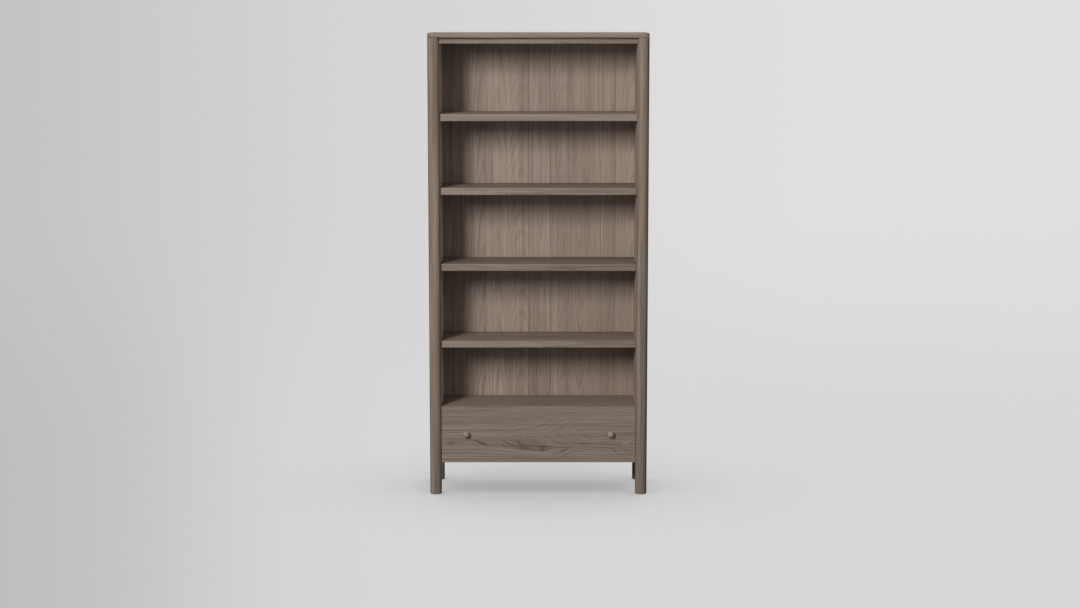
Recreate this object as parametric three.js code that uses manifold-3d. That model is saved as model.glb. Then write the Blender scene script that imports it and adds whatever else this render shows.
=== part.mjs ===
import * as THREE from "three";
import { mergeVertices } from "three/addons/utils/BufferGeometryUtils.js";
import Module from "manifold-3d";

// A tall bookcase on four round posts: five open compartments over one drawer on telescopic runners.
// Lengths are millimetres. X runs to the viewer's right, Y to the back and Z up.
// The origin is on the floor, under the middle of the bookcase.

// The whole
const overallWidth = 900;
const overallDepth = 322;
const overallHeight = 1903;
const faceGap = 0.3; // between two faces that meet
const cutOverrun = 2; // how far a cut runs past the face it opens

// Posts and their glides
const postDiameter = 48;
const postFootChamfer = 3;
const glideDiameter = 22;
const glideStandOff = 1.5; // how far a glide holds its post off the floor
const glideRecess = 4.5;
const glideChamfer = 0.8;

// Top, carcass and shelves
const topThickness = 18;
const upperBoardThickness = 23.5;
const carcassSetback = 3; // from the posts' centre plane to the carcass's front or rear edge
const sideThickness = 18;
const backThickness = 10;
const backInset = 12; // from the carcass's rear edge to the back panel
const housingDepth = 6; // how deep a board's edge sits in its neighbour's groove
const legHeight = 133; // floor to the underside of the drawer front and the side panels
const baseRise = 8; // from there to the base board
const baseThickness = 18;
const shelfThickness = 29;
const compartmentShares = [0.2066, 0.1982, 0.2064, 0.2108, 0.178]; // of the clear height, from the top down

// Dowels
const dowelDiameter = 10;
const dowelLength = 40;
const dowelInBoard = 12; // the part of its length in a side panel or in the top
const dowelEndGap = 0.5;
const shelfDowelInset = 50; // from a shelf's front or rear edge
const postDowelShift = 3; // away from the post's rebate, along X and Y

// Drawer
const frontHeight = 237;
const frontThickness = 20;
const frontProud = 8; // how far the drawer front and the upper board stand before the shelves
const frontReveal = 0.6; // at each end of the drawer front
const frontStopGap = 2; // between the closed front and the boards behind it
const boxFrontThickness = 15;
const boxWallThickness = 13;
const boxBottomThickness = 6;
const boxBottomRise = 12; // from the lower edge of the box to its bottom
const boxGroove = 5; // how deep the bottom sits in the walls
const boxFloorGap = 8; // under the box
const boxHeadGap = 15; // over the box
const boxRearGap = 10; // behind the box

// Knobs and their screws
const knobInset = 102; // from the end of the drawer front
const knobDrop = 116; // from the upper edge of the drawer front
const knobProjection = 26;
const knobHeadDiameter = 28;
const knobHeadThickness = 24;
const knobNeckDiameter = 14;
const screwDiameter = 4;
const screwHeadDiameter = 8;
const screwHeadHeight = 3;
const screwInKnob = 12;
const screwEndGap = 1;

// Runners, each of three nested channels
const runnerSpace = 13.2; // between a side panel and the drawer's box
const runnerHeight = 42;
const runnerRise = 60; // from the lower edge of the box to the runner's middle line
const runnerWall = 1.2;
const runnerPlay = 0.4; // between nested channels
const cabinetChannelDepth = 10;
const middleChannelDepth = 9;
const runnerRearGap = 15; // from the runner's end to the back panel

// How finely round shapes are faceted
const postSides = 32;
const knobSides = 24;
const smallSides = 12;
const domeSteps = 8;
const cornerSteps = 6;

// Places that follow from the sizes above
const postRadius = postDiameter / 2;
const postX = overallWidth / 2 - postRadius;
const postY = overallDepth / 2 - postRadius;
const innerX = overallWidth / 2 - postDiameter; // inner faces of the side panels
const carcassRear = postY - carcassSetback;
const carcassFront = -carcassRear;
const drawerFace = carcassFront - frontProud;
const backRear = carcassRear - backInset;
const backFront = backRear - backThickness;
const topUnderside = overallHeight - topThickness;
const upperBoardTop = topUnderside - faceGap;
const upperBoardBottom = upperBoardTop - upperBoardThickness;
const behindFront = drawerFace + frontThickness + frontStopGap;
const coverShelfTop = legHeight + frontHeight;
const coverShelfBottom = coverShelfTop - shelfThickness;
const baseBottom = legHeight + baseRise;
const baseTop = baseBottom + baseThickness;
const boxX = innerX - runnerSpace;
const boxInnerX = boxX - boxWallThickness;
const boxFrontY = drawerFace + frontThickness + faceGap;
const boxInnerFrontY = boxFrontY + boxFrontThickness;
const boxRearY = backFront - boxRearGap;
const boxInnerRearY = boxRearY - boxWallThickness;
const boxBottomZ = baseTop + boxFloorGap;
const boxTopZ = coverShelfBottom - boxHeadGap;
const knobX = innerX - frontReveal - knobInset;
const knobZ = coverShelfTop - knobDrop;

const sides = { left: -1, right: 1 };
const ends = { front: -1, rear: 1 };

const wasm = await Module();
wasm.setup();

// The solid that a closed geometry bounds
function solidOf(geometry) {
  const bare = geometry.clone();
  bare.deleteAttribute("normal");
  bare.deleteAttribute("uv");
  const merged = mergeVertices(bare);
  const mesh = new wasm.Mesh({
    numProp: 3,
    vertProperties: merged.attributes.position.array,
    triVerts: new Uint32Array(merged.index.array),
  });
  return new wasm.Manifold(mesh);
}

// A geometry with the cutters' geometries taken out of it
function carve(geometry, cutters) {
  let solid = solidOf(geometry);
  for (const cutter of cutters) {
    solid = solid.subtract(solidOf(cutter));
  }
  const mesh = solid.getMesh();
  const carved = new THREE.BufferGeometry();
  carved.setAttribute("position", new THREE.BufferAttribute(mesh.vertProperties, 3));
  carved.setIndex(new THREE.BufferAttribute(mesh.triVerts, 1));
  return carved.toNonIndexed();
}

// The two ends of a stretch that lies on one side of the middle, lower one first
function mirrored(side, near, far) {
  return side > 0 ? [near, far] : [-far, -near];
}

// A block between the two ends given along each axis
function block([x0, x1], [y0, y1], [z0, z1]) {
  const geometry = new THREE.BoxGeometry(x1 - x0, y1 - y0, z1 - z0);
  return geometry.translate((x0 + x1) / 2, (y0 + y1) / 2, (z0 + z1) / 2);
}

// A turned shape from its outline, as pairs of radius and height, standing on the origin along Z
function turned(outline, sideCount) {
  const points = outline.map(([radius, height]) => new THREE.Vector2(radius, height));
  return new THREE.LatheGeometry(points, sideCount).rotateX(Math.PI / 2);
}

function rod(radius, length, sideCount) {
  return turned([[0, 0], [radius, 0], [radius, length], [0, length]], sideCount);
}

// A rod along X, from its inner end outwards on the given side
function rodAlongX(side, radius, near, far, y, z) {
  return rod(radius, far - near, smallSides).rotateY((side * Math.PI) / 2).translate(side * near, y, z);
}

// A rod along Y, from its front end to its rear end
function rodAlongY(radius, front, rear, x, z) {
  return rod(radius, rear - front, smallSides).rotateX(-Math.PI / 2).translate(x, front, z);
}

// Tops of the shelves from the top down; the last one covers the drawer
function shelfTops() {
  const shareSum = compartmentShares.reduce((sum, share) => sum + share);
  const shelvesBetween = compartmentShares.length - 1;
  const clearHeight = upperBoardBottom - coverShelfTop - shelvesBetween * shelfThickness;
  const tops = [];
  let ceiling = upperBoardBottom;
  for (const share of compartmentShares) {
    tops.push(ceiling - (share / shareSum) * clearHeight);
    ceiling = tops.at(-1) - shelfThickness;
  }
  return tops;
}

// The shelves as boards: name, front edge and top
const shelfBoards = shelfTops().map((top, index, tops) => {
  const isCover = index === tops.length - 1;
  return {
    name: isCover ? "drawer_cover_shelf" : `shelf_${index + 1}`,
    front: isCover ? behindFront : carcassFront,
    rear: backFront - faceGap,
    top,
  };
});

// Where a shelf's dowels lie along Y and Z
function shelfDowelPlaces(board) {
  const z = board.top - shelfThickness / 2;
  return { front: [board.front + shelfDowelInset, z], rear: [board.rear - shelfDowelInset, z] };
}

const dowelRadius = dowelDiameter / 2;
const dowelHoleRadius = dowelRadius + faceGap;

function shelfDowel(side, [y, z]) {
  const near = innerX + dowelInBoard - dowelLength;
  return rodAlongX(side, dowelRadius, near, innerX + dowelInBoard, y, z);
}

function shelfDowelHole(side, [y, z]) {
  const near = innerX + dowelInBoard - dowelLength - dowelEndGap;
  return rodAlongX(side, dowelHoleRadius, near, innerX + dowelInBoard + dowelEndGap, y, z);
}

function postDowelPlace(side, end) {
  return [side * (postX + postDowelShift), end * (postY + postDowelShift)];
}

function postDowel(side, end) {
  const [x, y] = postDowelPlace(side, end);
  const bottom = topUnderside + dowelInBoard - dowelLength;
  return rod(dowelRadius, dowelLength, smallSides).translate(x, y, bottom);
}

function postDowelHole(side, end) {
  const [x, y] = postDowelPlace(side, end);
  const bottom = topUnderside + dowelInBoard - dowelLength - dowelEndGap;
  return rod(dowelHoleRadius, dowelLength + dowelEndGap * 2, smallSides).translate(x, y, bottom);
}

function post(side, end) {
  const length = topUnderside - faceGap - glideStandOff;
  const outline = [
    [0, 0],
    [postRadius - postFootChamfer, 0],
    [postRadius, postFootChamfer],
    [postRadius, length],
    [0, length],
  ];
  const stock = turned(outline, postSides).translate(side * postX, end * postY, glideStandOff);
  const rebate = block(
    mirrored(side, innerX - cutOverrun, innerX + sideThickness + faceGap),
    mirrored(end, carcassRear - postRadius * 2, carcassRear + faceGap),
    [legHeight - faceGap, topUnderside + cutOverrun],
  );
  const glideSeat = rod(glideDiameter / 2 + faceGap, glideRecess + cutOverrun, postSides)
    .translate(side * postX, end * postY, glideStandOff - cutOverrun);
  return carve(stock, [rebate, glideSeat, postDowelHole(side, end)]);
}

function footGlide(side, end) {
  const radius = glideDiameter / 2;
  const height = glideStandOff + glideRecess - faceGap;
  const outline = [[0, 0], [radius - glideChamfer, 0], [radius, glideChamfer], [radius, height], [0, height]];
  return turned(outline, knobSides).translate(side * postX, end * postY, 0);
}

function topPanel() {
  const x = overallWidth / 2 - postRadius;
  const y = overallDepth / 2 - postRadius;
  const plan = new THREE.Shape();
  plan.absarc(x, y, postRadius, 0, Math.PI / 2);
  plan.absarc(-x, y, postRadius, Math.PI / 2, Math.PI);
  plan.absarc(-x, -y, postRadius, Math.PI, Math.PI * 1.5);
  plan.absarc(x, -y, postRadius, Math.PI * 1.5, Math.PI * 2);
  const settings = { depth: topThickness, bevelEnabled: false, curveSegments: cornerSteps };
  const stock = new THREE.ExtrudeGeometry(plan, settings).translate(0, 0, topUnderside);
  const holes = [];
  for (const side of Object.values(sides)) {
    for (const end of Object.values(ends)) {
      holes.push(postDowelHole(side, end));
    }
  }
  return carve(stock, holes);
}

// The groove that the back panel's edge sits in, over the given stretches along X and Z
function backGroove(x, z) {
  return block(x, [backFront - faceGap, backRear + faceGap], z);
}

function upperBoard() {
  const halfLength = innerX + housingDepth;
  const z = [upperBoardBottom, upperBoardTop];
  const stock = block([-halfLength, halfLength], [drawerFace, carcassRear], z);
  const grooveEnd = halfLength + cutOverrun;
  const grooveTop = upperBoardBottom + housingDepth + faceGap;
  const cutters = [backGroove([-grooveEnd, grooveEnd], [upperBoardBottom - cutOverrun, grooveTop])];
  for (const side of Object.values(sides)) {
    const besidePost = mirrored(side, innerX - faceGap, grooveEnd);
    const height = [upperBoardBottom - cutOverrun, upperBoardTop + cutOverrun];
    cutters.push(block(besidePost, [drawerFace - cutOverrun, carcassFront], height));
  }
  return carve(stock, cutters);
}

function baseBoard() {
  const halfLength = innerX + housingDepth;
  const stock = block([-halfLength, halfLength], [behindFront, carcassRear], [baseBottom, baseTop]);
  const grooveEnd = halfLength + cutOverrun;
  const grooveFloor = baseTop - housingDepth - faceGap;
  return carve(stock, [backGroove([-grooveEnd, grooveEnd], [grooveFloor, baseTop + cutOverrun])]);
}

function sidePanel(side) {
  const stock = block(
    mirrored(side, innerX, innerX + sideThickness),
    [carcassFront, carcassRear],
    [legHeight, upperBoardTop],
  );
  const housing = mirrored(side, innerX - cutOverrun, innerX + housingDepth + faceGap);
  const cutters = [
    backGroove(housing, [legHeight - cutOverrun, upperBoardTop + cutOverrun]),
    block(
      housing,
      [carcassFront - cutOverrun, carcassRear + cutOverrun],
      [upperBoardBottom - faceGap, upperBoardTop + cutOverrun],
    ),
    block(
      housing,
      [behindFront - faceGap, carcassRear + cutOverrun],
      [baseBottom - faceGap, baseTop + faceGap],
    ),
  ];
  for (const board of shelfBoards) {
    for (const place of Object.values(shelfDowelPlaces(board))) {
      cutters.push(shelfDowelHole(side, place));
    }
  }
  return carve(stock, cutters);
}

function backPanel() {
  const halfWidth = innerX + housingDepth;
  const z = [baseTop - housingDepth, upperBoardBottom + housingDepth];
  return block([-halfWidth, halfWidth], [backFront, backRear], z);
}

function shelf(board) {
  const halfLength = innerX - faceGap;
  const z = [board.top - shelfThickness, board.top];
  const stock = block([-halfLength, halfLength], [board.front, board.rear], z);
  const holes = [];
  for (const side of Object.values(sides)) {
    for (const place of Object.values(shelfDowelPlaces(board))) {
      holes.push(shelfDowelHole(side, place));
    }
  }
  return carve(stock, holes);
}

// The hole for a knob's screw through the boards between the two ends given along Y
function screwHoles(front, rear) {
  const radius = screwDiameter / 2 + faceGap;
  return Object.values(sides).map((side) => {
    return rodAlongY(radius, front - cutOverrun, rear + cutOverrun, side * knobX, knobZ);
  });
}

function drawerFront() {
  const halfLength = innerX - frontReveal;
  const y = [drawerFace, drawerFace + frontThickness];
  return carve(block([-halfLength, halfLength], y, [legHeight, coverShelfTop]), screwHoles(...y));
}

// The groove for the drawer's bottom, over the given stretches along X and Y
function bottomGroove(x, y) {
  const floor = boxBottomZ + boxBottomRise;
  return block(x, y, [floor - faceGap, floor + boxBottomThickness + faceGap]);
}

function drawerBoxFront() {
  const halfLength = boxInnerX - faceGap;
  const y = [boxFrontY, boxInnerFrontY];
  const groove = bottomGroove(
    [-halfLength - cutOverrun, halfLength + cutOverrun],
    [boxInnerFrontY - boxGroove - faceGap, boxInnerFrontY + cutOverrun],
  );
  return carve(block([-halfLength, halfLength], y, [boxBottomZ, boxTopZ]), [groove, ...screwHoles(...y)]);
}

function drawerBack() {
  const halfLength = boxInnerX - faceGap;
  const groove = bottomGroove(
    [-halfLength - cutOverrun, halfLength + cutOverrun],
    [boxInnerRearY - cutOverrun, boxInnerRearY + boxGroove + faceGap],
  );
  return carve(block([-halfLength, halfLength], [boxInnerRearY, boxRearY], [boxBottomZ, boxTopZ]), [groove]);
}

function drawerSide(side) {
  const groove = bottomGroove(
    mirrored(side, boxInnerX - cutOverrun, boxInnerX + boxGroove + faceGap),
    [boxFrontY - cutOverrun, boxRearY + cutOverrun],
  );
  const stock = block(mirrored(side, boxInnerX, boxX), [boxFrontY, boxRearY], [boxBottomZ, boxTopZ]);
  return carve(stock, [groove]);
}

function drawerBottom() {
  const halfWidth = boxInnerX + boxGroove;
  const floor = boxBottomZ + boxBottomRise;
  return block(
    [-halfWidth, halfWidth],
    [boxInnerFrontY - boxGroove, boxInnerRearY + boxGroove],
    [floor, floor + boxBottomThickness],
  );
}

// A turned knob: a straight neck under a domed head, whose outline is an ellipse
function knob(side) {
  const headRadius = knobHeadDiameter / 2;
  const neckRadius = knobNeckDiameter / 2;
  const rise = knobHeadThickness / 2;
  const middle = knobProjection - rise;
  const neckAngle = -Math.acos(neckRadius / headRadius);
  const outline = [[0, faceGap], [neckRadius, faceGap]];
  for (let step = 0; step < domeSteps; step++) {
    const angle = neckAngle + (step / domeSteps) * (Math.PI / 2 - neckAngle);
    outline.push([headRadius * Math.cos(angle), middle + rise * Math.sin(angle)]);
  }
  outline.push([0, knobProjection]);
  const stock = turned(outline, knobSides).rotateX(Math.PI / 2).translate(side * knobX, drawerFace, knobZ);
  const holeRadius = screwDiameter / 2 + faceGap;
  const holeFront = drawerFace - screwInKnob - screwEndGap;
  return carve(stock, [rodAlongY(holeRadius, holeFront, drawerFace + cutOverrun, side * knobX, knobZ)]);
}

// A pan-headed screw from inside the drawer's box, through both fronts into the knob
function knobScrew(side) {
  const tip = drawerFace - screwInKnob;
  const headBack = boxInnerFrontY + faceGap + screwHeadHeight;
  const length = headBack - tip;
  const outline = [
    [0, 0],
    [screwHeadDiameter / 2, 0],
    [screwHeadDiameter / 2, screwHeadHeight],
    [screwDiameter / 2, screwHeadHeight],
    [screwDiameter / 2, length],
    [0, length],
  ];
  return turned(outline, smallSides).rotateX(Math.PI / 2).translate(side * knobX, headBack, knobZ);
}

// A channel along Y: its web stands at one X and its two flanges reach to another
function channel(side, webX, tipX, height) {
  const wall = Math.sign(tipX - webX) * runnerWall;
  const half = height / 2;
  const middle = boxBottomZ + runnerRise;
  const outline = [
    [webX, -half],
    [tipX, -half],
    [tipX, runnerWall - half],
    [webX + wall, runnerWall - half],
    [webX + wall, half - runnerWall],
    [tipX, half - runnerWall],
    [tipX, half],
    [webX, half],
  ];
  const section = new THREE.Shape(outline.map(([x, z]) => new THREE.Vector2(side * x, z)));
  const rear = backFront - runnerRearGap;
  const settings = { depth: rear - behindFront, bevelEnabled: false };
  return new THREE.ExtrudeGeometry(section, settings).rotateX(Math.PI / 2).translate(0, rear, middle);
}

const cabinetWebX = innerX - faceGap;
const middleWebX = cabinetWebX - runnerWall - runnerPlay;
const middleHeight = runnerHeight - (runnerWall + runnerPlay) * 2;

function runnerCabinet(side) {
  return channel(side, cabinetWebX, cabinetWebX - cabinetChannelDepth, runnerHeight);
}

function runnerMiddle(side) {
  return channel(side, middleWebX, middleWebX - middleChannelDepth, middleHeight);
}

function runnerDrawer(side) {
  const height = middleHeight - (runnerWall + runnerPlay) * 2;
  return channel(side, boxX + faceGap, middleWebX - runnerWall - runnerPlay, height);
}

// Finishes
function wood(color) {
  return new THREE.MeshStandardMaterial({ color, roughness: 0.6, metalness: 0 });
}

const greyOak = wood(0x8c7e72);
const shadedOak = wood(0x7d7065);
const boxWood = wood(0xa3958a);
const dowelWood = wood(0xc9b08a);
const runnerSteel = new THREE.MeshStandardMaterial({ color: 0xb4b7ba, roughness: 0.4, metalness: 0.9 });
const screwSteel = new THREE.MeshStandardMaterial({ color: 0x9a9c9e, roughness: 0.35, metalness: 1 });
const glidePlastic = new THREE.MeshStandardMaterial({ color: 0x3a3735, roughness: 0.7, metalness: 0 });

const bookcase = new THREE.Group();

function add(name, geometry, material) {
  const mesh = new THREE.Mesh(geometry, material.clone());
  mesh.geometry.computeVertexNormals();
  mesh.name = name;
  bookcase.add(mesh);
}

for (const [sideName, side] of Object.entries(sides)) {
  for (const [endName, end] of Object.entries(ends)) {
    add(`post_${endName}_${sideName}`, post(side, end), greyOak);
    add(`foot_glide_${endName}_${sideName}`, footGlide(side, end), glidePlastic);
    add(`post_dowel_${endName}_${sideName}`, postDowel(side, end), dowelWood);
  }
}

add("top_panel", topPanel(), greyOak);
add("upper_board", upperBoard(), greyOak);
add("base_board", baseBoard(), shadedOak);
add("back_panel", backPanel(), greyOak);
for (const [sideName, side] of Object.entries(sides)) {
  add(`side_panel_${sideName}`, sidePanel(side), shadedOak);
}
for (const board of shelfBoards) {
  add(board.name, shelf(board), greyOak);
  for (const [sideName, side] of Object.entries(sides)) {
    for (const [endName, place] of Object.entries(shelfDowelPlaces(board))) {
      add(`${board.name}_dowel_${endName}_${sideName}`, shelfDowel(side, place), dowelWood);
    }
  }
}

add("drawer_front", drawerFront(), greyOak);
add("drawer_box_front", drawerBoxFront(), boxWood);
add("drawer_back", drawerBack(), boxWood);
add("drawer_bottom", drawerBottom(), boxWood);
for (const [sideName, side] of Object.entries(sides)) {
  add(`drawer_side_${sideName}`, drawerSide(side), boxWood);
  add(`knob_${sideName}`, knob(side), greyOak);
  add(`knob_screw_${sideName}`, knobScrew(side), screwSteel);
  add(`runner_cabinet_${sideName}`, runnerCabinet(side), runnerSteel);
  add(`runner_middle_${sideName}`, runnerMiddle(side), runnerSteel);
  add(`runner_drawer_${sideName}`, runnerDrawer(side), runnerSteel);
}

export default bookcase;
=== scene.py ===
import math

import bmesh
import bpy
from mathutils import Matrix, Vector


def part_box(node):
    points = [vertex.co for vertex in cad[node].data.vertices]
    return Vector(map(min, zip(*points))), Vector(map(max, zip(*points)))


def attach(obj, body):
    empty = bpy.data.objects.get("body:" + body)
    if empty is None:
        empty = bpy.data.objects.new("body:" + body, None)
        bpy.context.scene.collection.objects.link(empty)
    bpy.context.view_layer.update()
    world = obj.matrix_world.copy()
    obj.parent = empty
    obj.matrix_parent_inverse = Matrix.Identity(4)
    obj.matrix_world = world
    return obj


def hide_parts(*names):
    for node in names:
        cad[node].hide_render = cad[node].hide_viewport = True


# A tall bookcase on four round posts: five open compartments over one drawer.
# Lengths are metres. X runs to the viewer's right, Y to the back and Z up.
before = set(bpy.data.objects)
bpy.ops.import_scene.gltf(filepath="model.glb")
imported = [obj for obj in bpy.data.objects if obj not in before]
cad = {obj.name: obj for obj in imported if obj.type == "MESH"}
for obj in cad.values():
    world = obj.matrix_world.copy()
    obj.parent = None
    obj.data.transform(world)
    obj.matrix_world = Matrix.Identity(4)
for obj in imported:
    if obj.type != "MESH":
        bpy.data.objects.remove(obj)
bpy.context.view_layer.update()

X, Y, Z = range(3)
SIDES = {"left": -1, "right": 1}
ENDS = {"front": -1, "rear": 1}
CORNERS = {f"{end}_{side}": (SIDES[side], ENDS[end]) for end in ENDS for side in SIDES}
SHELVES = ["shelf_1", "shelf_2", "shelf_3", "shelf_4", "drawer_cover_shelf"]

# How far edges are rounded, and in how many steps
FOOT_ROUND = 0.003
GLIDE_ROUND = 0.0008
TOP_ROUND = 0.0015
JOINT_ROUND = 0.0035
FRONT_EASE = 0.0016
BOARD_EASE = 0.0012
SHEET_EASE = 0.0003
CHANNEL_BEND = 0.001
EASE_STEPS = 3
METAL_STEPS = 4
ROUND_STEPS = 5
SLOT_STEPS = 6
CORNER_STEPS = 24

# How many sides turned and drilled forms have
POST_SIDES = 96
GLIDE_SIDES = 48
KNOB_SIDES = 64
KNOB_RINGS = 32
SCREW_SIDES = 32
DOWEL_HOLE_SIDES = 32
SCREW_HOLE_SIDES = 24

# Joints and the cuts that open them
JOINT_PLAY = 0.0003
DOWEL_RADIUS = 0.0053
DOWEL_END_GAP = 0.0005
SCREW_HOLE_RADIUS = 0.0023
SCREW_END_GAP = 0.001
OVERRUN = 0.01  # how far a cutter runs past the wood that it opens
METAL_OVERRUN = 0.001

# Knobs, runners and screws
KNOB_NECK_RADIUS = 0.007
KNOB_HEAD_RADIUS = 0.014
KNOB_HEAD_THICKNESS = 0.024
CHANNEL_WALL = 0.0012
SLOT_LENGTH = 0.016
SLOT_WIDTH = 0.0056
SLOT_END_FLAT = 0.0001  # what the round ends of a slot leave of its half width
SLOTS_BEHIND_FRONT = {"cabinet": (), "middle": (0.03, 0.075), "drawer": (0.028, 0.07, 0.165)}
SHANK_RADIUS = 0.002
SHANK_TAPER = 0.6
RECESS_ARM = 0.0022
RECESS_HALF_WIDTH = 0.0004
KNOB_SCREW_HEAD = {"thickness": 0.003, "ease": 0.0012, "recess": 0.0016}
KNOB_SCREW_TIP = 0.001
RUNNER_SCREW_RADIUS = 0.0042
RUNNER_SCREW_HEAD = {"thickness": 0.0021, "ease": 0.0011, "recess": 0.0013}
RUNNER_SCREW_PLAY = 0.0001  # between its head and the channel


# Tests of edges

TOUCH = 1e-5  # places nearer than this are one


def same(a, b):
    return abs(a - b) < TOUCH


def runs_along(axis):
    """Tests whether an edge runs along an axis."""
    return lambda a, b: all(same(a[other], b[other]) for other in (X, Y, Z) if other != axis)


def in_plane(axis, place):
    """Tests whether an edge lies in a plane square to an axis."""
    return lambda a, b: same(a[axis], place) and same(b[axis], place)


def on_outer_edge(low, high):
    """Tests whether an edge lies along one of the twelve edges of a box."""
    planes = [in_plane(axis, side[axis]) for axis in (X, Y, Z) for side in (low, high)]
    return lambda a, b: sum(holds(a, b) for holds in planes) == 2


# Shaping by hand

TURNED_TO = {X: (0, math.radians(90), 0), Y: (math.radians(90), 0, 0), Z: (0, 0, 0)}


def take_up(piece):
    """Only this piece is selected, and it is the one that tools work on."""
    bpy.ops.object.select_all(action="DESELECT")
    piece.select_set(True)
    bpy.context.view_layer.objects.active = piece


def start(name):
    """The primitive that was just added, under its own name."""
    piece = bpy.context.view_layer.objects.active
    piece.name = name
    piece.data.name = name
    return piece


def settle(piece):
    """The piece's place goes into its mesh."""
    take_up(piece)
    bpy.ops.object.transform_apply(location=True, rotation=True, scale=True)


def block(name, low, high):
    middle = [(a + b) / 2 for a, b in zip(low, high)]
    bpy.ops.object.select_all(action="DESELECT")
    bpy.ops.mesh.primitive_cube_add(size=1, location=middle)
    piece = start(name)
    piece.scale = [b - a for a, b in zip(low, high)]
    settle(piece)
    return piece


def rod(name, radius, first, last, sides, axis=Z):
    """A rod along an axis, from the middle of its first end to where its last end lies."""
    middle = list(first)
    middle[axis] = (first[axis] + last) / 2
    bpy.ops.object.select_all(action="DESELECT")
    bpy.ops.mesh.primitive_cylinder_add(
        vertices=sides, radius=radius, depth=abs(last - first[axis]), location=middle,
        rotation=TURNED_TO[axis],
    )
    piece = start(name)
    settle(piece)
    return piece


def choose_edges(piece, fits):
    """In edit mode, selects the edges whose two ends pass the test."""
    shape = bmesh.from_edit_mesh(piece.data)
    bpy.ops.mesh.select_mode(type="EDGE")
    bpy.ops.mesh.select_all(action="DESELECT")
    for edge in shape.edges:
        edge.select_set(fits(edge.verts[0].co, edge.verts[1].co))
    bmesh.update_edit_mesh(piece.data)


def choose_faces(piece, axis, facing):
    """In edit mode, selects the faces that look along an axis, one way or the other."""
    shape = bmesh.from_edit_mesh(piece.data)
    bpy.ops.mesh.select_mode(type="FACE")
    bpy.ops.mesh.select_all(action="DESELECT")
    for face in shape.faces:
        face.select_set(face.normal[axis] * facing > 0.99)
    bmesh.update_edit_mesh(piece.data)


def round_edges(piece, fits, width, segments):
    take_up(piece)
    bpy.ops.object.mode_set(mode="EDIT")
    choose_edges(piece, fits)
    bpy.ops.mesh.bevel(offset=width, segments=segments, profile=0.5, affect="EDGES")
    bpy.ops.object.mode_set(mode="OBJECT")


def extrude(axis, length):
    """In edit mode, draws the selected faces out along an axis."""
    move = [0, 0, 0]
    move[axis] = length
    bpy.ops.mesh.extrude_region_move(TRANSFORM_OT_translate={"value": move})


def cut(piece, cutters):
    """Takes each cutter out of the piece, and puts the cutter away."""
    for cutter in cutters:
        take_up(piece)
        tool = piece.modifiers.new("cut", "BOOLEAN")
        tool.operation = "DIFFERENCE"
        tool.solver = "EXACT"
        tool.object = cutter
        bpy.ops.object.modifier_apply(modifier=tool.name)
        bpy.data.objects.remove(cutter)


def smooth(piece):
    take_up(piece)
    bpy.ops.object.shade_smooth_by_angle(angle=math.radians(30))


def copied(piece, name, move=(0, 0, 0), flip=(1, 1, 1)):
    """A second piece with a mesh of its own, moved or mirrored about the middle planes."""
    mesh = piece.data.copy()
    mesh.name = name
    mesh.transform(Matrix.Translation(move) @ Matrix.Diagonal((*flip, 1)))
    if flip[X] * flip[Y] * flip[Z] < 0:
        mesh.flip_normals()
    twin = bpy.data.objects.new(name, mesh)
    bpy.context.scene.collection.objects.link(twin)
    smooth(twin)
    return twin


def dressed(node, name, ease, segments=EASE_STEPS, fits=None):
    """A board with its CAD node's joints, whose outer edges are eased."""
    low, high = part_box(node)
    mesh = cad[node].data.copy()
    mesh.materials.clear()
    mesh.name = name
    board = bpy.data.objects.new(name, mesh)
    bpy.context.scene.collection.objects.link(board)
    take_up(board)
    bpy.ops.mesh.customdata_custom_splitnormals_clear()
    bpy.ops.object.mode_set(mode="EDIT")
    bpy.ops.mesh.select_all(action="SELECT")
    bpy.ops.mesh.remove_doubles(threshold=TOUCH)
    bpy.ops.mesh.dissolve_limited(angle_limit=math.radians(1))
    bpy.ops.object.mode_set(mode="OBJECT")
    round_edges(board, fits or on_outer_edge(low, high), ease, segments)
    smooth(board)
    return board


# Shader nodes


def plug(tree, socket, value):
    if isinstance(value, Wire):
        tree.links.new(value.socket, socket)
    else:
        socket.default_value = value


class Wire:
    """A socket's value, which takes part in sums and products."""

    def __init__(self, tree, socket):
        self.tree = tree
        self.socket = socket

    def out(self, name):
        """Another output of the same node."""
        return Wire(self.tree, self.socket.node.outputs[name])

    def math(self, operation, *values):
        node = self.tree.nodes.new("ShaderNodeMath")
        node.operation = operation
        for socket, value in zip(node.inputs, values):
            plug(self.tree, socket, value)
        return Wire(self.tree, node.outputs[0])

    def __add__(self, other):
        return self.math("ADD", self, other)

    def __sub__(self, other):
        return self.math("SUBTRACT", self, other)

    def __mul__(self, other):
        return self.math("MULTIPLY", self, other)

    def __truediv__(self, other):
        return self.math("DIVIDE", self, other)

    def __radd__(self, other):
        return self.math("ADD", other, self)

    def __rsub__(self, other):
        return self.math("SUBTRACT", other, self)

    def __rmul__(self, other):
        return self.math("MULTIPLY", other, self)

    def __rtruediv__(self, other):
        return self.math("DIVIDE", other, self)

    def squared(self):
        return self.math("MULTIPLY", self, self)

    def root(self):
        return self.math("SQRT", self)

    def size(self):
        return self.math("ABSOLUTE", self)

    def fraction(self):
        return self.math("FRACT", self)

    def whole(self):
        return self.math("FLOOR", self)

    def exponent(self):
        return self.math("EXPONENT", self)

    def most(self, other):
        return self.math("MAXIMUM", self, other)


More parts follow.
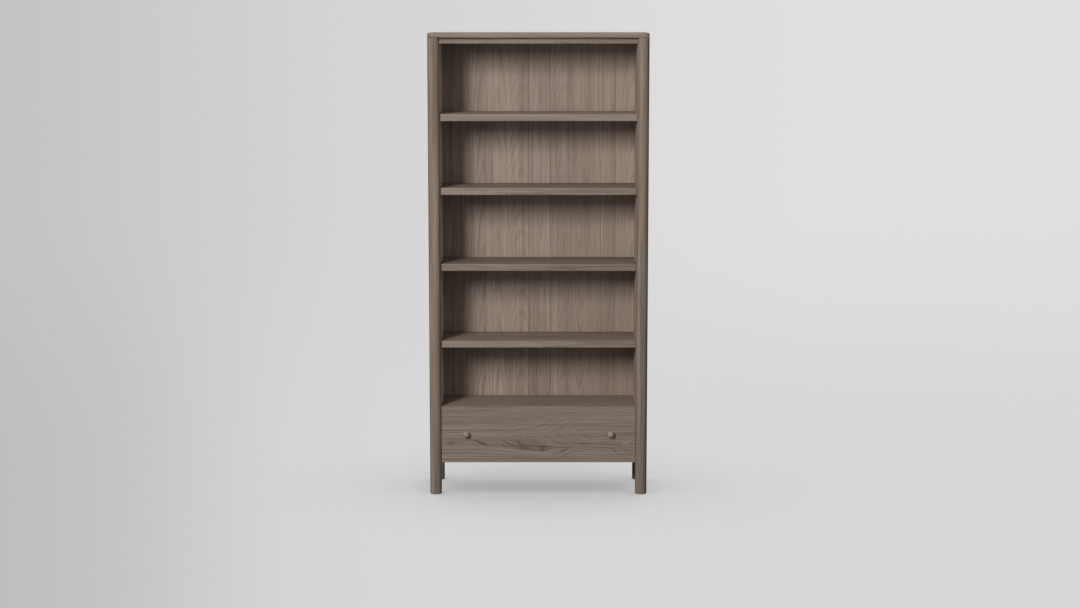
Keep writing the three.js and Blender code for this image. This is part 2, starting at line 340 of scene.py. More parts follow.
class Recipe:
    """The nodes of one material, or of the world."""

    def __init__(self, tree):
        self.tree = tree
        tree.nodes.clear()

    def node(self, kind, values=None, output=0, stops=None, **settings):
        made = self.tree.nodes.new(kind)
        for name, value in settings.items():
            setattr(made, name, value)
        if stops:
            fill_ramp(made.color_ramp, stops)
        for socket, value in (values or {}).items():
            plug(self.tree, made.inputs[socket], value)
        return Wire(self.tree, made.outputs[output]) if made.outputs else None

    def place(self, source="Object"):
        return self.node("ShaderNodeTexCoord", output=source)

    def vector(self, x, y, z):
        return self.node("ShaderNodeCombineXYZ", {"X": x, "Y": y, "Z": z})

    def parts(self, vector, order="XYZ"):
        """The three numbers of a vector, in the order of the axes named."""
        split = self.node("ShaderNodeSeparateXYZ", {"Vector": vector})
        return [split.out(axis) for axis in order]

    def noise(self, vector, detail=2.0, roughness=0.5, scale=1.0):
        values = {"Vector": vector, "Scale": scale, "Detail": detail, "Roughness": roughness}
        return self.node("ShaderNodeTexNoise", values)

    def chance(self, number):
        """A number from 0 to 1 that goes with another number."""
        return self.node("ShaderNodeTexWhiteNoise", {"W": number}, noise_dimensions="1D")

    def ramp(self, value, stops):
        return self.node("ShaderNodeValToRGB", {"Fac": value}, "Color", stops)

    def between(self, value, low, high, to_low=0.0, to_high=1.0):
        """The value's place between two others, eased at both ends."""
        values = {"Value": value, "From Min": low, "From Max": high}
        values |= {"To Min": to_low, "To Max": to_high}
        return self.node("ShaderNodeMapRange", values, interpolation_type="SMOOTHSTEP")

    def mixed(self, factor, a, b):
        values = {0: factor, 6: a, 7: b}
        return self.node("ShaderNodeMix", values, 2, data_type="RGBA")


def fill_ramp(ramp, stops):
    while len(ramp.elements) < len(stops):
        ramp.elements.new(0.5)
    for element, (place, colour) in zip(ramp.elements, stops):
        element.position = place
        shown = colour if isinstance(colour, tuple) else (colour, colour, colour)
        element.color = (*shown, 1.0)


def linear(level):
    """A level as it shows on a screen, from 0 to 255, as the shaders take it."""
    share = level / 255
    return ((share + 0.055) / 1.055) ** 2.4 if share > 0.0404 else share / 12.92


def shade(red, green, blue):
    return linear(red), linear(green), linear(blue)


def finish(name):
    material = bpy.data.materials.new(name)
    material.use_nodes = True
    return material, Recipe(material.node_tree)


def surface(recipe, values):
    shader = recipe.node("ShaderNodeBsdfPrincipled", values)
    recipe.node("ShaderNodeOutputMaterial", {"Surface": shader})


# Wood

# From the darkest grain to the palest
STAIN = [
    (0.0, shade(80, 67, 57)), (0.3, shade(113, 99, 88)),
    (0.55, shade(141, 126, 114)), (1.0, shade(172, 157, 143)),
]
LACQUER = [
    (0.0, shade(128, 104, 80)), (0.4, shade(171, 148, 118)),
    (0.6, shade(188, 167, 138)), (1.0, shade(211, 193, 166)),
]
SHEEN_TINT = (*shade(205, 190, 176), 1.0)
RING_TONE = [(0.0, 0.45), (0.12, 0.05), (0.55, 0.2), (0.88, 1.0), (1.0, 0.45)]  # across one ring
SEAM_REACH = 0.0045
SEAM_CORE = 0.0006
STEP_REACH = 0.0008
PORE_DEPTH = 0.0004


def oak(
    name, order, stain=STAIN, seed=0.0, tone=0.0, pith=(0.0, 0.05), lean=0.0, pitch=0.005,
    figure=0.10, bands=0.75, rings=None, strip=None, seams=(), steps=(), smudges=(),
    gloss=0.0, shine=0.2, sheen=0.0,
):
    """Solid oak. Order names the axes along the grain, across it and into the board.

    The pith is a line across the board and behind it, which leans into the board along the grain,
    and its rings are a pitch apart. A strip gives the first edge and the width of boards glued side
    by side, seams are dark lines between them, and steps are where the tone rises or falls.
    """
    material, recipe = finish(name)
    along, across, deep = recipe.parts(recipe.place(), order)
    level, slant, drift = tone, lean, seed
    from_pith = across - pith[0]
    if strip:
        first, width = strip
        count = ((across - first) / width).whole()
        luck = recipe.chance(count + seed)
        drift = luck * 37.0
        level = (recipe.chance(count * 1.7 + seed + 40.5) - 0.5) * 0.20 + tone
        slant = (recipe.chance(count * 2.3 + seed + 91.5) - 0.5) * lean
        from_pith = across - first - (count + luck * 1.2 - 0.1) * width
    for place, depth in seams:
        level = level - recipe.between((across - place).size(), SEAM_REACH, SEAM_CORE) * depth
    for place, rise in steps:
        level = level + recipe.between(across - place, -STEP_REACH, STEP_REACH) * rise
    wander = recipe.noise(recipe.vector(along * 1.1 + drift, across * 7.0, deep * 7.0 + seed))
    ripple = recipe.noise(recipe.vector(along * 6.0 + drift, across * 24.0, deep * 24.0), 3.0)
    if rings:
        distance, strength = rings(recipe, along, across, deep, ripple)
    else:
        aside = from_pith + (wander - 0.5) * 0.05 + (ripple - 0.5) * 0.012
        behind = pith[1] + slant * along + deep
        distance, strength = (aside.squared() + behind * behind).root(), 1.0
    late = recipe.ramp((distance / pitch).fraction(), RING_TONE)
    broad = recipe.noise(recipe.vector(along * 0.8 + drift, across * 8.0 + drift, deep * 8.0))
    patches = recipe.noise(recipe.vector(along * 1.6 + drift, across * 18.0, deep * 18.0))
    streak_place = recipe.vector(along * 1.5 + drift, across * 55.0 + drift, deep * 55.0)
    streaks = recipe.noise(streak_place, 3.0, 0.6)
    lines = recipe.noise(recipe.vector(along * 2.2 + drift, across * 150.0, deep * 150.0), 2.0, 0.6)
    fibres = recipe.noise(recipe.vector(along * 9.0 + drift, across * 480.0, deep * 480.0), 2.0, 0.6)
    dashes = recipe.noise(recipe.vector(along * 45.0 + drift, across * 1500.0, deep * 1500.0), 1.0)
    pores = recipe.between(dashes, 0.36, 0.27)
    strength = strength * (0.35 + 1.3 * recipe.between(broad, 0.35, 0.65))
    tint = (
        0.55 + level + (broad - 0.5) * bands + (streaks - 0.5) * bands + (lines - 0.5) * 0.45
        + (fibres - 0.5) * 0.5 - (late - 0.3) * strength * figure - pores * 0.10
        - recipe.between(patches, 0.62, 0.75) * 0.10
    )
    for (u, v), (length, height), slope, depth in smudges:
        further = along - u + (ripple - 0.5) * 0.04
        higher = across - v - further * slope + (streaks - 0.5) * 0.008
        spot = ((further / length).squared() + (higher / height).squared()).root()
        tint = tint - recipe.between(spot, 1.0, 0.0) * (0.4 + streaks * 1.2) * depth
    relief = fibres * 0.35 + late * 0.25 - pores * 0.9
    bump = {"Height": relief, "Strength": 0.35, "Distance": PORE_DEPTH}
    values = {
        "Base Color": recipe.ramp(tint, stain),
        "Roughness": 0.60 - gloss + pores * 0.12 - (streaks - 0.5) * 0.12,
        "Normal": recipe.node("ShaderNodeBump", bump),
        "Specular IOR Level": shine,
    }
    if sheen:
        values |= {"Sheen Weight": sheen, "Sheen Roughness": 0.5, "Sheen Tint": SHEEN_TINT}
    surface(recipe, values)
    return material


# The drawer front's grain. Places on it are X and Z, and reaches are half lengths and half heights.
FRONT_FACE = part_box("drawer_front")[0].y
FRONT_AXIS = 0.267  # the height of the arrowheads' points
FRONT_TIP_REACH = 0.055
FRONT_TIP_RISE = 0.062
FRONT_TIPS = (0.21, -0.04)  # from where the arrowheads open to where they are fully open
FRONT_TIP_ROUND = 0.00001
FRONT_FADE = (0.32, 0.26)  # from where the rings are faint to where they are strong
# Place, reach and push of the rings to either side
FRONT_KNOTS = [
    ((-0.04, 0.212), (0.11, 0.034), 0.034), ((0.012, 0.195), (0.045, 0.022), 0.020),
    ((0.36, 0.213), (0.04, 0.026), 0.024),
]
# Place, reach and shift of the rings
FRONT_DIPS = [((0.10, 0.165), (0.07, 0.035), -0.014), ((0.31, 0.17), (0.06, 0.04), 0.010)]
# Darker spots and streaks: place, reach, slope and depth of tone
FRONT_SMUDGES = [
    ((0.024, 0.2005), (0.044, 0.0042), 0.0, 0.38), ((0.019, 0.1955), (0.029, 0.0075), 0.0, 0.30),
    ((0.012, 0.187), (0.016, 0.0095), 0.0, 0.28), ((0.046, 0.1945), (0.034, 0.006), 0.45, 0.12),
    ((0.0, 0.192), (0.1, 0.04), 0.0, 0.06), ((-0.080, 0.2185), (0.022, 0.010), -0.6, 0.20),
    ((-0.062, 0.196), (0.030, 0.018), -0.2, 0.10), ((-0.066, 0.206), (0.06, 0.034), 0.0, 0.08),
    ((-0.238, 0.2175), (0.05, 0.0085), -0.38, 0.36), ((-0.362, 0.215), (0.034, 0.011), 0.0, 0.24),
    ((0.178, 0.2108), (0.032, 0.009), 0.0, 0.24), ((0.095, 0.181), (0.062, 0.010), 0.38, 0.26),
    ((0.112, 0.1655), (0.044, 0.008), 0.36, 0.18), ((-0.02, 0.224), (0.038, 0.006), -0.36, 0.18),
    ((-0.1235, 0.2125), (0.040, 0.008), -0.6, 0.24), ((-0.145, 0.203), (0.038, 0.007), -0.6, 0.16),
    ((0.2, 0.244), (0.042, 0.007), -0.45, 0.16), ((0.3226, 0.178), (0.056, 0.010), -0.72, 0.18),
    ((0.35, 0.187), (0.05, 0.008), -0.72, 0.13), ((0.36, 0.2135), (0.028, 0.014), 0.0, -0.24),
    ((-0.076, 0.242), (0.006, 0.018), 0.0, 0.14), ((-0.1, 0.2663), (0.075, 0.006), 0.25, 0.15),
    ((0.085, 0.277), (0.052, 0.006), 0.32, 0.16), ((0.076, 0.2536), (0.042, 0.006), -0.5, 0.18),
]


def flamed(recipe, along, across, deep, ripple):
    """The rings on the drawer front: arrowheads that point left, bent round its knots."""
    height = across
    for (u, v), (length, reach), push in FRONT_KNOTS:
        off = (across - v) / reach
        bell = (((along - u) / length).squared() + off.squared()) * -1.0
        height = height - off * bell.exponent() * push
    for (u, v), (length, reach), shift in FRONT_DIPS:
        bell = (((along - u) / length).squared() + ((across - v) / reach).squared()) * -1.0
        height = height + bell.exponent() * shift
    sway = recipe.noise(recipe.vector(along * 4.0 + 3.7, across * 9.0, deep * 9.0), 3.0)
    aside = height - FRONT_AXIS + (sway - 0.5) * 0.03 + (ripple - 0.5) * 0.010
    near = (aside.squared() * (-1.0 / FRONT_TIP_REACH ** 2)).exponent()
    opened = recipe.between(along, *FRONT_TIPS, 0.0, FRONT_TIP_RISE)
    distance = (aside.squared() + FRONT_TIP_ROUND).root() + near * opened
    return distance + (deep - FRONT_FACE) * 0.6, recipe.between(across, *FRONT_FADE, 0.4, 1.2)


PITH_UNDER_FACE = 0.07


def under(node, axis=Z):
    """What puts the pith a fixed way under the face at a board's upper or right end."""
    return PITH_UNDER_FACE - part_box(node)[1][axis]


post_oak = oak(
    "post_oak", "ZXY", seed=3.1, tone=0.02, pith=(0.09, 0.03), pitch=0.006, figure=0.16, shine=0.0
)
top_oak = oak(
    "top_oak", "XYZ", seed=7.7, tone=-0.04, pith=(0.03, under("top_panel")), lean=0.05, gloss=0.22,
    shine=0.4,
)
SHELF_TONES = {
    "shelf_1": 0.20, "shelf_2": 0.0, "shelf_3": -0.09, "shelf_4": 0.04, "drawer_cover_shelf": 0.1,
    "upper_board": -0.03, "base_board": 0.0,
}
shelf_oak = {
    name: oak(
        f"{name}_oak", "XYZ", seed=11.3, tone=tone, pith=(0.03, under(name)), lean=0.04, bands=0.6
    )
    for name, tone in SHELF_TONES.items()
}
# Tone and sheen of the side panels. The left panel's paler tone is painted light on its shaded inner face,
# and its stronger sheen brightens that face as well; the right panel has less sheen because its inner face
# is lit.
SIDE_LOOKS_WITH_PAINTED_LIGHT = {"left": (0.18, 0.8), "right": (0.12, 0.15)}  # tone and sheen
side_oak = {
    name: oak(
        f"side_{name}_oak", "ZYX", seed=17.9 + SIDES[name], tone=tone,
        pith=(0.02, under(f"side_panel_{name}", X)), lean=0.03, shine=0.3, sheen=sheen,
    )
    for name, (tone, sheen) in SIDE_LOOKS_WITH_PAINTED_LIGHT.items()
}
# The back panel's strips: the dark seams before some, and how their tone rises or falls there
STRIPS_FROM = -0.4036
STRIP_WIDTH = 0.0908
STRIP_SEAMS = {2: 0.06, 3: 0.04, 4: 0.24, 5: 0.26, 6: 0.08, 8: 0.16}
STRIP_STEPS = {3: 0.09, 4: -0.09, 8: 0.27}


def at_strips(depths):
    return [(STRIPS_FROM + count * STRIP_WIDTH, depth) for count, depth in depths.items()]


back_oak = oak(
    "back_oak", "ZXY", seed=5.0, tone=0.13, pith=(0.0, -0.04), lean=0.12, figure=0.18, bands=0.62,
    strip=(STRIPS_FROM, STRIP_WIDTH), seams=at_strips(STRIP_SEAMS), steps=at_strips(STRIP_STEPS),
)
drawer_oak = oak(
    "drawer_oak", "XZY", seed=23.4, tone=0.03, pitch=0.0115, figure=0.19, bands=0.45, rings=flamed,
    smudges=FRONT_SMUDGES,
)
knob_oak = oak(
    "knob_oak", "XZY", seed=2.2, tone=0.26, pith=(0.3, 0.2), pitch=0.004, gloss=0.2, shine=0.4
)
box_wood = oak("box_wood", "XZY", LACQUER, seed=31.0, pith=(0.5, 0.3))
box_side_wood = oak("box_side_wood", "YZX", LACQUER, seed=35.0, pith=(0.5, 0.6))
box_floor_wood = oak(
    "box_floor_wood", "XYZ", LACQUER, seed=39.0, tone=0.05, pith=(0.1, 0.1), lean=0.03
)
dowel_wood = oak("dowel_wood", "XZY", LACQUER, seed=43.0, tone=0.05)
post_dowel_wood = oak("post_dowel_wood", "ZXY", LACQUER, seed=47.0, tone=0.05)


# Metal and plastic

DRAWN_DEPTH = 0.0001
GRIT_DEPTH = 0.0001


def zinc(name, order, colour):
    """Zinc-plated steel with faint drawing lines along its length."""
    material, recipe = finish(name)
    place = recipe.place()
    along, across, deep = recipe.parts(place, order)
    drawn = recipe.noise(recipe.vector(along * 12.0, across * 1800.0, deep * 1800.0), 3.0)
    bloom = recipe.noise(place, 3.0, 0.6, scale=60.0)
    tint = 0.4 + (drawn - 0.5) * 0.5 + (bloom - 0.5) * 0.7
    dull = tuple(v * 0.78 for v in colour)
    bump = {"Height": drawn, "Strength": 0.15, "Distance": DRAWN_DEPTH}
    surface(recipe, {
        "Base Color": recipe.ramp(tint, [(0.2, dull), (0.7, colour)]),
        "Metallic": 1.0,
        "Roughness": 0.34 + (bloom - 0.5) * 0.25 + (drawn - 0.5) * 0.15,
        "Normal": recipe.node("ShaderNodeBump", bump),
    })
    return material


def moulded_plastic(name):
    material, recipe = finish(name)
    place = recipe.place()
    spark = recipe.noise(place, 2.0, 0.6, scale=2500.0)
    cloud = recipe.noise(place, scale=90.0)
    tones = [(0.35, shade(44, 41, 39)), (0.65, shade(60, 57, 55))]
    bump = {"Height": spark, "Strength": 0.3, "Distance": GRIT_DEPTH}
    surface(recipe, {
        "Base Color": recipe.ramp(spark * 0.4 + cloud * 0.6, tones),
        "Roughness": 0.62 + (cloud - 0.5) * 0.2,
        "Normal": recipe.node("ShaderNodeBump", bump),
    })
    return material


runner_steel = zinc("runner_steel", "YZX", (0.62, 0.63, 0.64))
screw_steel = zinc("screw_steel", "YXZ", (0.56, 0.56, 0.57))
runner_screw_steel = zinc("runner_screw_steel", "XYZ", (0.5, 0.5, 0.51))
glide_plastic = moulded_plastic("glide_plastic")


# Pieces


def fit(piece, body, slot, material, *nodes):
    """Gives a piece its finish, the body it moves with and the CAD nodes it stands for."""
    piece.data.materials.clear()
    piece.data.materials.append(material)
    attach(piece, body)
    if nodes:
        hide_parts(*nodes)


# Posts and their glides


def middle_and_radius(node):
    """The middle of an upright round piece in plan, and its radius."""
    low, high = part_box(node)
    radius = (high.x - low.x) / 2
    return low.x + radius, low.y + radius, radius


def dowel_hole(corner, bottom, top):
    """A cutter for the hole of a post's dowel, from one height to another."""
    low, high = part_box(f"post_dowel_{corner}")
    foot = ((low.x + high.x) / 2, (low.y + high.y) / 2, bottom)
    return rod("hole", DOWEL_RADIUS, foot, top, DOWEL_HOLE_SIDES)


def turned_post():
    """The left front post, with a rebate for the carcass's corner and a seat for its glide."""
    low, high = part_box("post_front_left")
    x, y, radius = middle_and_radius("post_front_left")
    post = rod("turned_post_front_left", radius, (x, y, low.z), high.z, POST_SIDES)
    round_edges(post, in_plane(Z, low.z), FOOT_ROUND, ROUND_STEPS)
    rebate_from = [place - JOINT_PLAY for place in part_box("side_panel_left")[0]]
    rebate = block("rebate", rebate_from, [place + OVERRUN for place in high])
    seat_radius = middle_and_radius("foot_glide_front_left")[2] + JOINT_PLAY
    seat_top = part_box("foot_glide_front_left")[1].z + JOINT_PLAY
    seat = rod("seat", seat_radius, (x, y, low.z - OVERRUN), seat_top, GLIDE_SIDES)
    hole_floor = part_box("post_dowel_front_left")[0].z - DOWEL_END_GAP
    cut(post, [rebate, seat, dowel_hole("front_left", hole_floor, high.z + OVERRUN)])
    smooth(post)
    return post


def foot_glide():
    low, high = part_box("foot_glide_front_left")
    x, y, radius = middle_and_radius("foot_glide_front_left")
    glide = rod("glide_front_left", radius, (x, y, low.z), high.z, GLIDE_SIDES)
    round_edges(glide, in_plane(Z, low.z), GLIDE_ROUND, METAL_STEPS)
    smooth(glide)
    return glide


def fit_at_corners(first, prefix, slot, material, node_prefix):
    """Fits the left front piece, and its mirrored copies at the other corners."""
    for corner, (side, end) in CORNERS.items():
        piece = first
        if corner != "front_left":
            piece = copied(first, f"{prefix}_{corner}", flip=(-side, -end, 1))
        fit(piece, "carcass", slot, material, f"{node_prefix}_{corner}")


fit_at_corners(turned_post(), "turned_post", "post_oak", post_oak, "post")
fit_at_corners(foot_glide(), "glide", "glide_plastic", glide_plastic, "foot_glide")


# Boards of the carcass and the drawer


def top_board():
    """The top, with corners as round as the posts and a softened rim."""
    low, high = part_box("top_panel")
    corner_radius = middle_and_radius("post_front_left")[2]
    board = block("dressed_top_panel", low, high)
    round_edges(board, runs_along(Z), corner_radius, CORNER_STEPS)
    round_edges(board, in_plane(Z, high.z), TOP_ROUND, ROUND_STEPS)
    round_edges(board, in_plane(Z, low.z), BOARD_EASE, EASE_STEPS)
    hole_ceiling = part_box("post_dowel_front_left")[1].z + DOWEL_END_GAP
    cut(board, [dowel_hole(corner, low.z - OVERRUN, hole_ceiling) for corner in CORNERS])
    smooth(board)
    return board


def upper_board():
    """The board under the top. Its upper front edge is rounded, which makes a dark line of the joint."""
    low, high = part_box("upper_board")
    in_front, on_top = in_plane(Y, low.y), in_plane(Z, high.z)

    def along_joint(a, b):
        return in_front(a, b) and on_top(a, b)

    board = dressed("upper_board", "dressed_upper_board", JOINT_ROUND, ROUND_STEPS, along_joint)
    round_edges(board, on_outer_edge(low, high), BOARD_EASE, EASE_STEPS)
    smooth(board)
    return board


def fit_board(node, body, slot, material, ease=BOARD_EASE):
    fit(dressed(node, f"dressed_{node}", ease), body, slot, material, node)


fit(top_board(), "carcass", "top_oak", top_oak, "top_panel")
fit(upper_board(), "carcass", "shelf_oak", shelf_oak["upper_board"], "upper_board")
fit_board("base_board", "carcass", "shelf_oak", shelf_oak["base_board"])
fit_board("back_panel", "carcass", "back_oak", back_oak)
for side_name in SIDES:
    fit_board(f"side_panel_{side_name}", "carcass", "side_oak", side_oak[side_name])

first, *others, cover = SHELVES
shelf = dressed(first, f"dressed_{first}", BOARD_EASE)
fit(shelf, "carcass", "shelf_oak", shelf_oak[first], first)
for node in others:
    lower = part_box(node)[0].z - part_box(first)[0].z
    piece = copied(shelf, f"dressed_{node}", move=(0, 0, lower))
    fit(piece, "carcass", "shelf_oak", shelf_oak[node], node)
fit_board(cover, "carcass", "shelf_oak", shelf_oak[cover])

fit_board("drawer_front", "drawer", "drawer_oak", drawer_oak, FRONT_EASE)
fit_board("drawer_box_front", "drawer", "box_wood", box_wood)
fit_board("drawer_back", "drawer", "box_wood", box_wood)
fit_board("drawer_bottom", "drawer", "box_wood", box_floor_wood, SHEET_EASE)
for side_name in SIDES:
    fit_board(f"drawer_side_{side_name}", "drawer", "box_wood", box_side_wood)


# Screws


def cross_recess(axis, into, place, depth):
    """Two crossed blades that cut the recess of a screw."""
    beside = [other for other in (X, Y, Z) if other != axis]
    blades = []
    for wide, thin in (beside, reversed(beside)):
        low, high = list(place), list(place)
        low[axis], high[axis] = sorted((place[axis] + into * depth, place[axis] - into * METAL_OVERRUN))
        for other, reach in ((wide, RECESS_ARM), (thin, RECESS_HALF_WIDTH)):
            low[other] -= reach
            high[other] += reach
        blades.append(block("blade", low, high))
    return blades


def pan_screw(name, axis, into, place, radius, shank, thickness, ease, recess, tip=0):
    """A pan-headed screw that is driven along an axis. Place is the middle of its head's outer face."""
    under_head = place[axis] + into * thickness
    screw = rod(name, radius, place, under_head, SCREW_SIDES, axis)
    round_edges(screw, in_plane(axis, place[axis]), ease, METAL_STEPS)
    take_up(screw)
    bpy.ops.object.mode_set(mode="EDIT")
    choose_faces(screw, axis, into)
    bpy.ops.mesh.inset(thickness=radius - SHANK_RADIUS)
    extrude(axis, into * shank)
    if tip:
        extrude(axis, into * tip)
        taper = [1 if other == axis else SHANK_TAPER for other in (X, Y, Z)]
        bpy.ops.transform.resize(value=taper, center_override=place)
    bpy.ops.object.mode_set(mode="OBJECT")
    cut(screw, cross_recess(axis, into, place, recess))
    smooth(screw)
    return screw


# Knobs


def turned_knob():
    """The left knob: a domed head, cut off flat behind, on a straight neck that meets the drawer front."""
    low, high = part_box("knob_left")
    x, z = (low.x + high.x) / 2, (low.z + high.z) / 2
    half_thickness = KNOB_HEAD_THICKNESS / 2
    middle = low.y + half_thickness
    bpy.ops.object.select_all(action="DESELECT")
    bpy.ops.mesh.primitive_uv_sphere_add(
        segments=KNOB_SIDES, ring_count=KNOB_RINGS, radius=KNOB_HEAD_RADIUS, location=(x, middle, z),
        rotation=TURNED_TO[Y],
    )
    knob = start("turned_knob_left")
    knob.scale = (1, 1, half_thickness / KNOB_HEAD_RADIUS)
    settle(knob)
    shoulder = middle + half_thickness * math.sqrt(1 - (KNOB_NECK_RADIUS / KNOB_HEAD_RADIUS) ** 2)
    bpy.ops.object.mode_set(mode="EDIT")
    bpy.ops.mesh.select_all(action="SELECT")
    bpy.ops.mesh.bisect(plane_co=(x, shoulder, z), plane_no=(0, 1, 0), use_fill=True, clear_outer=True)
    extrude(Y, high.y - shoulder)
    bpy.ops.object.mode_set(mode="OBJECT")
    hole_end = (x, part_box("knob_screw_left")[0].y - SCREW_END_GAP, z)
    cut(knob, [rod("hole", SCREW_HOLE_RADIUS, hole_end, high.y + OVERRUN, SCREW_HOLE_SIDES, Y)])
    smooth(knob)
    return knob


def knob_screw():
    """The left knob's screw, driven from inside the drawer."""
    low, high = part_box("knob_screw_left")
    place = ((low.x + high.x) / 2, high.y, (low.z + high.z) / 2)
    shank = high.y - low.y - KNOB_SCREW_HEAD["thickness"] - KNOB_SCREW_TIP
    radius = (high.x - low.x) / 2
    return pan_screw(
        "pan_screw_left", Y, -1, place, radius, shank, tip=KNOB_SCREW_TIP, **KNOB_SCREW_HEAD
    )


knob = turned_knob()
screw = knob_screw()
apart = (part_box("knob_right")[0].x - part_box("knob_left")[0].x, 0, 0)
knobs = {"left": knob, "right": copied(knob, "turned_knob_right", move=apart)}
screws = {"left": screw, "right": copied(screw, "pan_screw_right", move=apart)}
for side_name in SIDES:
    fit(knobs[side_name], "drawer", "knob_oak", knob_oak, f"knob_{side_name}")
    fit(screws[side_name], "drawer", "screw_steel", screw_steel, f"knob_screw_{side_name}")


# Runners


def web_of(member, side_name):
    """The X of a channel's web: its face with the rounded bends, then its inner face."""
    low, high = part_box(f"runner_{member}_{side_name}")
    at_high_x = (member != "drawer") == (side_name == "right")
    bend = high.x if at_high_x else low.x
    return bend, bend + (-1 if at_high_x else 1) * CHANNEL_WALL


def runner(member, side_name):
    """A channel with rounded bends, and slots in its web."""
    node = f"runner_{member}_{side_name}"
    low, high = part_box(node)
    bend, inside = web_of(member, side_name)
    on_web, at_bottom, at_top = in_plane(X, bend), in_plane(Z, low.z), in_plane(Z, high.z)

    def on_bend(a, b):
        return on_web(a, b) and (at_bottom(a, b) or at_top(a, b))

    channel = dressed(node, f"formed_{node}", CHANNEL_BEND, METAL_STEPS, on_bend)
    height = (low.z + high.z) / 2
    near, far = sorted((bend, inside))
    slots = []
    for behind in SLOTS_BEHIND_FRONT[member]:
        middle = low.y + behind
        slot = block(
            "slot", (near - METAL_OVERRUN, middle - SLOT_LENGTH / 2, height - SLOT_WIDTH / 2),
            (far + METAL_OVERRUN, middle + SLOT_LENGTH / 2, height + SLOT_WIDTH / 2),
        )
        round_edges(slot, runs_along(X), SLOT_WIDTH / 2 - SLOT_END_FLAT, SLOT_STEPS)
        slots.append(slot)
    cut(channel, slots)
    smooth(channel)
    return channel


def runner_screw(side_name, behind):
    """A screw through a slot of the drawer's channel."""
    low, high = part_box(f"runner_drawer_{side_name}")
    out = SIDES[side_name]
    outer = web_of("drawer", side_name)[1] + out * (RUNNER_SCREW_HEAD["thickness"] + RUNNER_SCREW_PLAY)
    place = (outer, low.y + behind, (low.z + high.z) / 2)
    name = f"runner_screw_{side_name}"
    return pan_screw(name, X, -out, place, RUNNER_SCREW_RADIUS, CHANNEL_WALL, **RUNNER_SCREW_HEAD)


for side_name in SIDES:
    bodies = {"cabinet": "carcass", "middle": f"{side_name}_middle_channel", "drawer": "drawer"}
    for member, body in bodies.items():
        node = f"runner_{member}_{side_name}"
        fit(runner(member, side_name), body, "runner_steel", runner_steel, node)
    first, *others = SLOTS_BEHIND_FRONT["drawer"]
    screw = runner_screw(side_name, first)
    fit(screw, "drawer", "screw_steel", runner_screw_steel)
    for behind in others:
        twin_name = f"runner_screw_{side_name}_{round(behind * 1000)}"
        twin = copied(screw, twin_name, move=(0, behind - first, 0))
        fit(twin, "drawer", "screw_steel", runner_screw_steel)


# Dowels keep their CAD shape

for corner in CORNERS:
    cad[f"post_dowel_{corner}"].material_slots[0].material = post_dowel_wood
    for shelf_name in SHELVES:
        cad[f"{shelf_name}_dowel_{corner}"].material_slots[0].material = dowel_wood


# Floor, lights and camera

# Grey levels behind the object, from the left of the picture to the right
BACKDROP_HIGH = [(0.0, 195), (0.2, 206), (0.32, 212), (0.45, 215), (0.63, 221), (0.75, 223)]
BACKDROP_LOW = [(0.0, 189), (0.1, 195), (0.25, 211), (0.35, 215), (1.0, 215)]
BACKDROP_SPAN = 0.25
AROUND_LEFT = 0.11
AROUND_RIGHT = 0.04
HIGH_RIGHT_FILL = 0.8
LOW_FRONT_FILL = 0.45

FLOOR_RADIUS = 6
FLOOR_SIDES = 96
FLOOR_GREY = (0.14, 0.14, 0.14, 1.0)
SHADE_REACH = 0.8
SHADE_TONE = [(0.0, 0.47), (0.35, 0.59), (0.7, 0.86), (1.0, 1.0)]  # from shut in to open

KEY_PLACE = (-3.54, -7.14, 4.3)
KEY_AIM = (0, 0, 0.8)
KEY_WIDTH = 1.7
KEY_HEIGHT = 2.9
KEY_SPREAD = 90
KEY_WATTS = 122

CAMERA_PLACE = (0.00663, -8.7964, 2.0305)
CAMERA_TILT = 81.894
SENSOR_WIDTH = 36
FOCAL_LENGTH = 70.85


def seen_directly(recipe):
    """1 where the camera, a mirror or glass looks, and 0 for light that falls on the object."""
    path = recipe.node("ShaderNodeLightPath", output="Is Camera Ray")
    return path.most(path.out("Is Glossy Ray")).most(path.out("Is Transmission Ray"))


def backdrop(recipe, across, levels):
    return recipe.ramp(across, [(place, linear(level)) for place, level in levels])


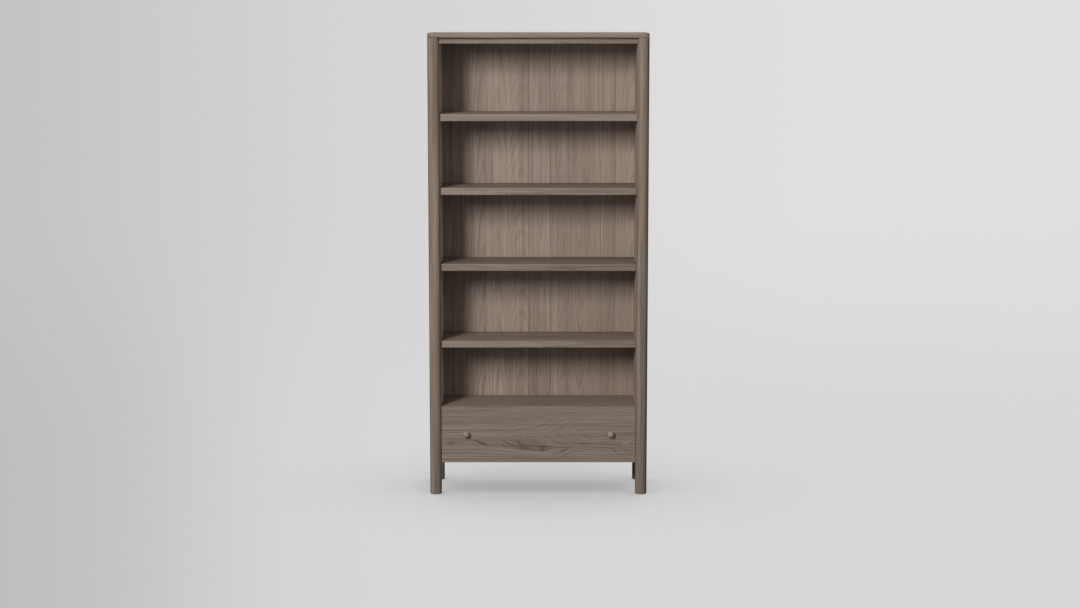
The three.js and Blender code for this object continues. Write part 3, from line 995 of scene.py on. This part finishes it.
def set_world():
    """A grey backdrop for the eye, and a soft fill light for the object."""
    world = bpy.data.worlds.new("studio")
    bpy.context.scene.world = world
    world.use_nodes = True
    recipe = Recipe(world.node_tree)
    aside, behind, above = recipe.parts(recipe.place("Generated"))
    across = aside / (2 * BACKDROP_SPAN) + 0.5
    high, low = (backdrop(recipe, across, levels) for levels in (BACKDROP_HIGH, BACKDROP_LOW))
    grey = recipe.mixed(recipe.between(above, -0.09, -0.21), high, low)
    shown = recipe.node("ShaderNodeBackground", {"Color": grey, "Strength": 1.0})
    right = recipe.between(aside, 0.0, 0.3) * recipe.between(aside, 0.85, 0.5)
    high_right = right * recipe.between(above, -0.05, 0.15) * recipe.between(above, 0.8, 0.5)
    low_front = recipe.between(above, -0.45, -0.25) * recipe.between(above, 0.02, -0.12)
    front = high_right * HIGH_RIGHT_FILL + low_front * LOW_FRONT_FILL
    around = recipe.between(aside, 0.3, 0.8, AROUND_LEFT, AROUND_RIGHT)
    rear = recipe.between(behind, 0.7, 0.9)
    strength = around + recipe.between(behind, 0.1, -0.1) * front + rear
    fill = recipe.node("ShaderNodeBackground", {"Color": (1.0, 1.0, 1.0, 1.0), "Strength": strength})
    both = recipe.node("ShaderNodeMixShader", {0: seen_directly(recipe), 1: fill, 2: shown})
    recipe.node("ShaderNodeOutputWorld", {"Surface": both})


def add_floor():
    """A pale floor that shows the backdrop, darkened where the bookcase shuts out the light."""
    bpy.ops.object.select_all(action="DESELECT")
    bpy.ops.mesh.primitive_circle_add(
        vertices=FLOOR_SIDES, radius=FLOOR_RADIUS, fill_type="NGON", location=(0, 0, 0)
    )
    floor = start("floor")
    material, recipe = finish("pale_floor")
    reach = {"Distance": SHADE_REACH}
    open_sky = recipe.node("ShaderNodeAmbientOcclusion", reach, "AO", samples=12)
    veil = recipe.ramp(open_sky, SHADE_TONE)
    clear = recipe.node("ShaderNodeBsdfTransparent", {"Color": veil})
    solid = recipe.node("ShaderNodeBsdfDiffuse", {"Color": FLOOR_GREY})
    both = recipe.node("ShaderNodeMixShader", {0: seen_directly(recipe), 1: solid, 2: clear})
    recipe.node("ShaderNodeOutputMaterial", {"Surface": both})
    floor.data.materials.append(material)


def add_key():
    bpy.ops.object.light_add(type="AREA", location=KEY_PLACE)
    lamp = start("key")
    lamp.rotation_euler = (Vector(KEY_AIM) - Vector(KEY_PLACE)).to_track_quat("-Z", "Y").to_euler()
    lamp.data.shape = "RECTANGLE"
    lamp.data.size = KEY_WIDTH
    lamp.data.size_y = KEY_HEIGHT
    lamp.data.spread = math.radians(KEY_SPREAD)
    lamp.data.energy = KEY_WATTS


def add_camera():
    """A camera that stands and looks where the photograph's did."""
    bpy.ops.object.camera_add(location=CAMERA_PLACE, rotation=(math.radians(CAMERA_TILT), 0, 0))
    camera = bpy.context.view_layer.objects.active
    camera.data.sensor_width = SENSOR_WIDTH
    camera.data.lens = FOCAL_LENGTH
    bpy.context.scene.camera = camera


set_world()
add_floor()
add_key()
add_camera()
bpy.context.scene.view_settings.view_transform = "Standard"
